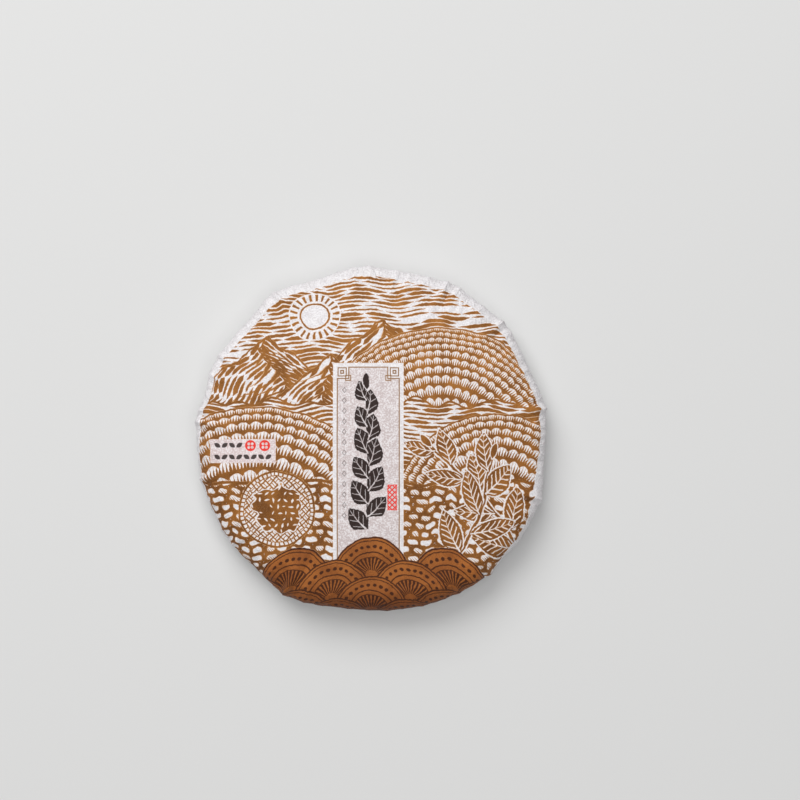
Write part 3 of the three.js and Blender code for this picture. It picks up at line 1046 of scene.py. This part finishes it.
class TeaCakeInks(bpy.types.PropertyGroup):
    """Colours of the paper and its print; the two deep browns also stand for painted shade towards the
    bottom.
    """

    paper: ink_property("Paper", "Thick, pale places of the paper", srgb(242, 240, 242))
    paper_shade: ink_property("Paper shade", "Thin, greyer places of the paper", srgb(216, 211, 213))
    label_tint: ink_property("Label tint", "Tint printed under the label", srgb(235, 225, 222))
    tag_tint: ink_property("Tag tint", "Tint printed under the tag", srgb(245, 229, 226))
    fibre: ink_property("Fibre", "Loose cotton fibres", srgb(214, 204, 200))
    brown_ink: ink_property("Brown ink", "The woodcut's ink where it lies thin", srgb(170, 112, 52))
    thin_ink: ink_property("Thin ink", "The woodcut's ink at its edges and where worn", srgb(214, 164, 112))
    # This deep brown is also the painted shade that the ink darkens to towards the bottom of the face.
    brown_deep: ink_property("Deep brown ink", "The woodcut's ink where it lies thick", srgb(106, 62, 22))
    band: ink_property("Band", "Ground of the wave band", srgb(170, 102, 46))
    # This darker band colour is also the painted shade at the band's bottom edge.
    band_deep: ink_property("Deep band", "Darker places of the band", srgb(122, 66, 28))
    band_line: ink_property("Band line", "Rings of the wave scales", srgb(64, 30, 14))
    dark_ink: ink_property("Dark ink", "The sprig on the label", srgb(48, 35, 32))
    red_ink: ink_property("Red ink", "The seal and the two discs", srgb(230, 60, 50))


class TeaCakeStage(bpy.types.PropertyGroup):
    """Camera and lights."""

    lens: bpy.props.FloatProperty(
        name="Lens", description="Focal length of the camera", default=100, min=20, unit="CAMERA"
    )
    tilt: bpy.props.FloatProperty(
        name="Tilt", description="How far the camera leans from straight down", default=math.radians(3),
        subtype="ANGLE",
    )
    key_power: power_property("Key light", "Power of the lamp behind the cake", 15)
    fill_power: power_property("Fill light", "Power of the lamp by the camera", 8)


def deselect():
    if bpy.context.object and bpy.context.object.mode != "OBJECT":
        bpy.ops.object.mode_set(mode="OBJECT")
    bpy.ops.object.select_all(action="DESELECT")


class TEACAKE_OT_wrapper(bpy.types.Operator):
    """Wrap the cake: a gridded sheet is laid round it, pleated at the rim and gathered at the back"""

    bl_idname = "tea_cake.wrapper"
    bl_label = "Paper wrapper"

    def execute(self, context):
        places, sheet = wrapper_places(context.scene.tea_cake_wrapper)
        rings, columns = places.shape[:2]
        low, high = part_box(NODE)
        middle = (low + high) / 2
        flat = places.reshape(-1, 3) * MM
        centre = (flat.max(axis=0) + flat.min(axis=0)) / 2
        flat[:, 0] += middle.x - centre[0]
        flat[:, 1] += middle.y - centre[1]

        deselect()
        bpy.ops.mesh.primitive_grid_add(x_subdivisions=columns, y_subdivisions=rings - 1, size=2)
        wrapper = context.object
        wrapper.name = wrapper.data.name = "paper_wrapper"
        mesh = wrapper.data
        spot = np.empty(len(mesh.vertices) * 3)
        mesh.vertices.foreach_get("co", spot)
        spot = spot.reshape(-1, 3)
        column = np.rint((spot[:, 0] + 1) / 2 * columns).astype(int) % columns
        ring = np.rint((spot[:, 1] + 1) / 2 * (rings - 1)).astype(int)
        which = ring * columns + column
        mesh.vertices.foreach_set("co", flat[which].ravel())
        mesh.uv_layers.remove(mesh.uv_layers[0])
        layer = mesh.uv_layers.new(name="Sheet")
        corner = np.empty(len(mesh.loops), dtype=np.int32)
        mesh.loops.foreach_get("vertex_index", corner)
        on_sheet = sheet.reshape(-1, 2)[which[corner]] / SHEET_WIDTH + 0.5
        layer.data.foreach_set("uv", on_sheet.ravel())
        mesh.update()

        bpy.ops.object.mode_set(mode="EDIT")
        bpy.ops.mesh.select_all(action="SELECT")
        bpy.ops.mesh.remove_doubles(threshold=SEAM_GAP * MM)
        bpy.ops.mesh.normals_make_consistent(inside=False)
        bpy.ops.object.mode_set(mode="OBJECT")
        bpy.ops.object.shade_smooth_by_angle(angle=SHARP_FOLD)
        wrapper.data.materials.append(wrapper_paper(context.scene.tea_cake_inks))

        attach(wrapper, "root")
        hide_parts(NODE)
        return {"FINISHED"}


class TEACAKE_OT_stage(bpy.types.Operator):
    """Set the cake on a pale floor under soft light, with the camera above it"""

    bl_idname = "tea_cake.stage"
    bl_label = "Floor, lights and camera"

    def execute(self, context):
        stage = context.scene.tea_cake_stage
        deselect()
        bpy.ops.mesh.primitive_plane_add(size=6)
        floor = context.object
        floor.name = floor.data.name = "floor"
        paint, _, _ = material("Pale floor", Base_Color=FLOOR_TONE, Roughness=0.9)
        floor.data.materials.append(paint)

        for name, power in (("key", stage.key_power), ("fill", stage.fill_power)):
            size, place = LAMPS[name]
            bpy.ops.object.light_add(type="AREA", location=place)
            lamp = context.object
            lamp.name = lamp.data.name = name
            lamp.data.shape, lamp.data.size, lamp.data.energy = "DISK", size, power
            lamp.rotation_euler = (-Vector(place)).to_track_quat("-Z", "Y").to_euler()
        world = context.scene.world or bpy.data.worlds.new("Studio")
        context.scene.world = world
        world.use_nodes = True
        sky = world.node_tree.nodes["Background"]
        sky.inputs["Color"].default_value = (1, 1, 1, 1)
        sky.inputs["Strength"].default_value = SKY_LIGHT
        context.scene.view_settings.view_transform = "Standard"

        # The camera stands as far off as its lens needs to take in the frame's width.
        bpy.ops.object.camera_add()
        camera = context.object
        camera.data.lens = stage.lens
        away = FRAME_WIDTH * MM * stage.lens / camera.data.sensor_width
        back = Vector((0, -math.sin(stage.tilt), math.cos(stage.tilt)))
        camera.location = Vector([v * MM for v in FRAME_MIDDLE]) + back * away
        camera.rotation_euler = (stage.tilt, 0, 0)
        camera.data.clip_start, camera.data.clip_end = 0.01, 20
        context.scene.camera = camera
        return {"FINISHED"}


class TEACAKE_PT_panel(bpy.types.Panel):
    """Sizes, colours and pieces of the tea cake."""

    bl_idname = "TEACAKE_PT_panel"
    bl_label = "Tea Cake"
    bl_space_type = "VIEW_3D"
    bl_region_type = "UI"
    bl_category = "Tea Cake"

    def draw(self, context):
        for group, kind in GROUPS.items():
            box = self.layout.box()
            for name in kind.__annotations__:
                box.prop(getattr(context.scene, group), name)
        for operator in STEPS:
            self.layout.operator(operator.bl_idname)


GROUPS = {"tea_cake_wrapper": TeaCakeWrapper, "tea_cake_inks": TeaCakeInks, "tea_cake_stage": TeaCakeStage}
STEPS = (TEACAKE_OT_wrapper, TEACAKE_OT_stage)
CLASSES = (*GROUPS.values(), *STEPS, TEACAKE_PT_panel)


def register():
    for made in CLASSES:
        bpy.utils.register_class(made)
    for group, kind in GROUPS.items():
        setattr(bpy.types.Scene, group, bpy.props.PointerProperty(type=kind))


def unregister():
    for group in GROUPS:
        delattr(bpy.types.Scene, group)
    for made in reversed(CLASSES):
        bpy.utils.unregister_class(made)


def main():
    register()
    bpy.ops.tea_cake.wrapper()
    bpy.ops.tea_cake.stage()


if __name__ == "__main__":
    main()
